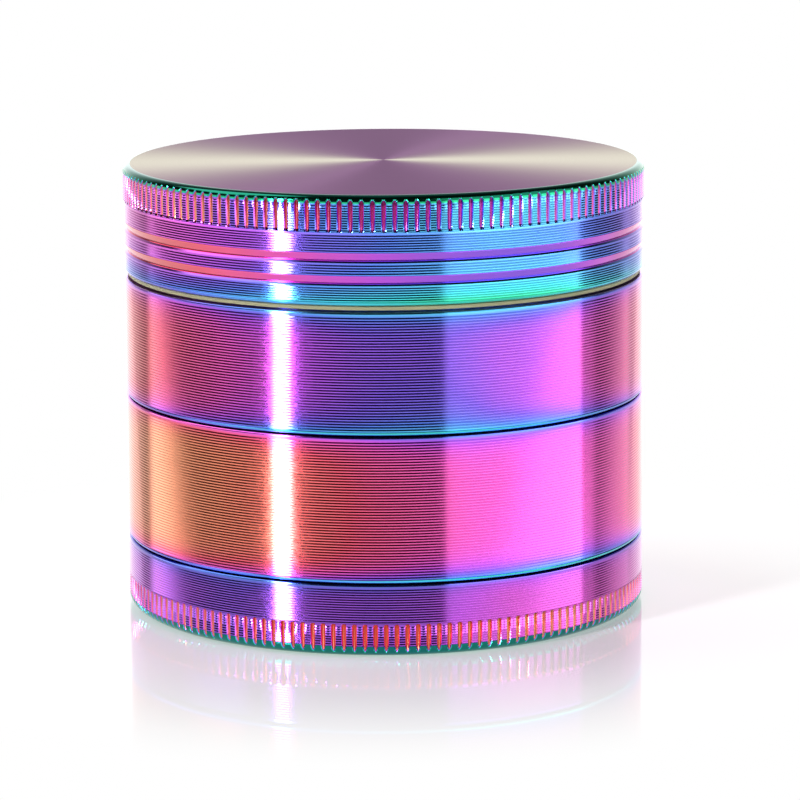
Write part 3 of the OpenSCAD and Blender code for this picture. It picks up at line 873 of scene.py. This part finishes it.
def make_teeth(name, coat, count, ring, foot, tip, rising):
    """One ring of diamond teeth, standing up from a floor or hanging from the lid."""
    plan = []
    half_w, half_l = TOOTH_W / 2, TOOTH_L / 2
    corners = [(half_w, 0), (0, half_l), (-half_w, 0), (0, -half_l)]
    for i, corner in enumerate(corners):
        before, after = corners[i - 1], corners[(i + 1) % 4]
        for other in (before, after):
            plan.append([c + TOOTH_CORNER * (o - c) for c, o in zip(corner, other)])
    height = tip - foot
    levels = [(0, 1.0), (height - 0.45, 1.0), (height - 0.15, 0.9), (height, 0.76)]
    if not rising:
        levels = [(height - z, scale) for z, scale in reversed(levels)]
    points = [(x * scale * MM, y * scale * MM, z * MM) for z, scale in levels for x, y in plan]
    n = len(plan)
    faces = [(r * n + i, r * n + (i + 1) % n, (r + 1) * n + (i + 1) % n, (r + 1) * n + i)
             for r in range(len(levels) - 1) for i in range(n)]
    faces += [tuple(reversed(range(n))), tuple((len(levels) - 1) * n + i for i in range(n))]
    tooth = bpy.data.meshes.new(name + "_tooth")
    tooth.from_pydata(points, [], faces)
    return grow(name, tooth_ring_tree(), tooth,
                {"Count": count, "Ring radius": ring * MM, "Foot height": foot * MM, "Material": coat}, 20)


def make_thread(name, coat, wall, height, start):
    """Right-hand thread ridge on a spigot (height above 0) or in a socket (height below 0)."""
    section = bpy.data.meshes.new(name + "_section")
    widths = [(-0.15, 0.45), (0.9, 0.24), (1.0, 0.18), (1.0, -0.18), (0.9, -0.24), (-0.15, -0.45)]
    if height < 0:
        widths.reverse()
    widths.append(widths[0])
    section.from_pydata([(rise, 0, across * MM) for rise, across in widths], [], [])
    return grow(name, thread_tree(), section,
                {"Steps per turn": THREAD_STEPS, "Turns": THREAD_TURNS, "Pitch": THREAD_PITCH * MM,
                 "Wall radius": wall * MM, "Ridge height": height * MM, "Start height": start * MM,
                 "Fade": THREAD_FADE,
                 "Material": coat}, 25)


def make_screen(steel):
    p = Profile()
    middle = (SCREEN_Z + SCREEN_TOP) / 2
    p.to(SCREEN_R - 0.5, SCREEN_Z, 0).to(SCREEN_R - 0.03, SCREEN_Z, 0).to(SCREEN_R, middle, 0)
    p.to(SCREEN_R - 0.03, SCREEN_TOP, 0).to(SCREEN_R - 0.5, SCREEN_TOP, 0)
    rim = shell("screen_rim", p, steel, 128)
    border = rim.data
    bpy.data.objects.remove(rim)
    return grow("woven_screen", screen_tree(), border,
                {"Screen radius": (SCREEN_R - 0.45) * MM, "Wire pitch": WIRE_PITCH * MM,
                 "Wire radius": (SCREEN_TOP - SCREEN_Z) / 4 * MM, "Middle height": middle * MM,
                 "Material": steel}, 60)


def make_ring(name, material, inner, outer, low, high, edge, groove=0.0):
    """Plain turned ring with eased edges, and a fine groove around the outside if asked for."""
    p = Profile()
    p.to(inner + edge, low, 0).to(outer - edge, low, 0).to(outer, low + edge, 0)
    if groove:
        middle = (low + high) / 2
        p.to(outer, middle - groove, 0).to(outer - groove, middle, 0).to(outer, middle + groove, 0)
    p.to(outer, high - edge, 0).to(outer - edge, high, 0).to(inner + edge, high, 0)
    p.to(inner, high - edge, 0).to(inner, low + edge, 0)
    return shell(name, p, material, 192, crease=25)


def make_magnet(name, material, low, high):
    p = Profile()
    p.to(0, low, 0).to(MAGNET_R - 0.2, low, 0).to(MAGNET_R, low + 0.2, 0).to(MAGNET_R, high - 0.2, 0)
    p.to(MAGNET_R - 0.06, high - 0.06, 0).to(MAGNET_R - 0.2, high, 0).to(0, high, 0)
    return shell(name, p, material, 96, crease=50)


# ---------------------------------------------------------------- build

place_camera()
light_studio()
lay_floor()
bpy.context.scene.view_settings.view_transform = "Standard"

lid_coat = rainbow_coat("lid_coat", 0.15, 24, share=0.78)
lid_knurl_coat = rainbow_coat("lid_knurl_coat", 0.17, 22, notch_film=0.46, notch_shade=0.60)
chamber_coat = rainbow_coat("chamber_coat", 0.15, 9, share=0.75)
sieve_coat = rainbow_coat("sieve_coat", 0.125, 33, share=0.86)
tray_coat = rainbow_coat("tray_coat", 0.07, -28, share=0.68)
tray_knurl_coat = rainbow_coat("tray_knurl_coat", 0.07, -28, notch_film=0.25, share=0.68)
face = brushed_top()

lid = make_lid(lid_coat, face)
lid_knurl = make_lid_knurl(lid_knurl_coat)
chamber = make_chamber(chamber_coat)
sieve = make_sieve(sieve_coat)
tray = make_tray(tray_coat)
tray_knurl = make_tray_knurl(tray_knurl_coat)

nylon = plain_material("ring_nylon", (0.36, 0.34, 0.20), 0.0, 0.4)
silicone = plain_material("gasket_silicone", (0.66, 0.66, 0.62), 0.0, 0.6)
wire_steel = plain_material("screen_wire", (0.55, 0.54, 0.52), 1.0, 0.3)
spring_steel = plain_material("clamp_ring_steel", (0.52, 0.53, 0.55), 1.0, 0.25)
nickel = plain_material("magnet_nickel", (0.66, 0.62, 0.56), 1.0, 0.18)
tooth_coat = rainbow_coat("tooth_coat", 0.12, 0, base=0.55)
thread_coat = rainbow_coat("thread_coat", 0.1, 0, base=0.6)

chamber_floor = make_chamber_floor(chamber_coat)
chamber_start = CHAMBER_Z - SPIGOT_H + THREAD_START
sieve_start = SIEVE_Z - SPIGOT_H + THREAD_START

pieces = [
    (lid, "lid", "lid", "lid_metal"),
    (lid_knurl, "lid", "lid", "lid_metal"),
    (make_teeth("lid_outer_tooth_ring", tooth_coat, LID_TEETH[0], RINGS[1], LID_TOOTH_LOW,
                LID_TOOTH_TOP, False), "lid", "lid_outer_teeth", "tooth_metal"),
    (make_teeth("lid_inner_tooth_ring", tooth_coat, LID_TEETH[1], RINGS[3], LID_TOOTH_LOW,
                LID_TOOTH_TOP, False), "lid", "lid_inner_teeth", "tooth_metal"),
    (make_magnet("lid_magnet_disc", nickel, LID_MAGNET_Z, LID_MAGNET_TOP),
     "lid_core", "lid_magnet", "magnet_nickel"),
    (chamber, "chamber", "grinding_chamber", "chamber_metal"),
    (chamber_floor, "chamber", "grinding_chamber", "chamber_metal"),
    (make_teeth("chamber_outer_tooth_ring", tooth_coat, CHAMBER_TEETH[0], RINGS[0], TOOTH_LOW,
                TOOTH_TOP, True), "chamber", "chamber_outer_teeth", "tooth_metal"),
    (make_teeth("chamber_inner_tooth_ring", tooth_coat, CHAMBER_TEETH[1], RINGS[2], TOOTH_LOW,
                TOOTH_TOP, True), "chamber", "chamber_inner_teeth", "tooth_metal"),
    (make_thread("chamber_thread_ridge", thread_coat, SPIGOT_R, THREAD_HEIGHT, chamber_start),
     "chamber", "chamber_thread", "thread_metal"),
    (make_ring("nylon_friction_ring", nylon, RIM_R + 0.05, RING_R, SHOULDER_Z + 0.18, RING_TOP, 0.08, 0.06),
     "chamber", "friction_ring", "ring_plastic"),
    (make_magnet("chamber_magnet_disc", nickel, CORE_MAGNET_Z, CORE_MAGNET_TOP),
     "chamber_core", "chamber_magnet", "magnet_nickel"),
    (sieve, "sieve", "sieve_chamber", "sieve_metal"),
    (make_thread("sieve_lower_ridge", thread_coat, SPIGOT_R, THREAD_HEIGHT, sieve_start),
     "sieve", "sieve_lower_thread", "thread_metal"),
    (make_thread("sieve_upper_ridge", thread_coat, SOCKET_R, -THREAD_HEIGHT, chamber_start + SOCKET_SHIFT),
     "sieve", "sieve_upper_thread", "thread_metal"),
    (make_screen(wire_steel), "sieve", "mesh_screen", "screen_steel"),
    (make_ring("clamp_ring", spring_steel, LEDGE_R + 0.2, CLAMP_R, CLAMP_Z, CLAMP_TOP, 0.15),
     "sieve", "screen_clamp_ring", "ring_steel"),
    (make_ring("screen_seal", silicone, LEDGE_R + 0.1, GASKET_R, GASKET_Z, GASKET_TOP, 0.12),
     "sieve_seal", "screen_gasket", "gasket_rubber"),
    (tray, "tray", "catch_tray", "tray_metal"),
    (tray_knurl, "tray", "catch_tray", "tray_metal"),
    (make_thread("tray_ridge", thread_coat, SOCKET_R, -THREAD_HEIGHT, sieve_start + SOCKET_SHIFT),
     "tray", "tray_thread", "thread_metal"),
]
for piece, body, node, slot in pieces:
    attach(piece, body)
    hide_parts(node)
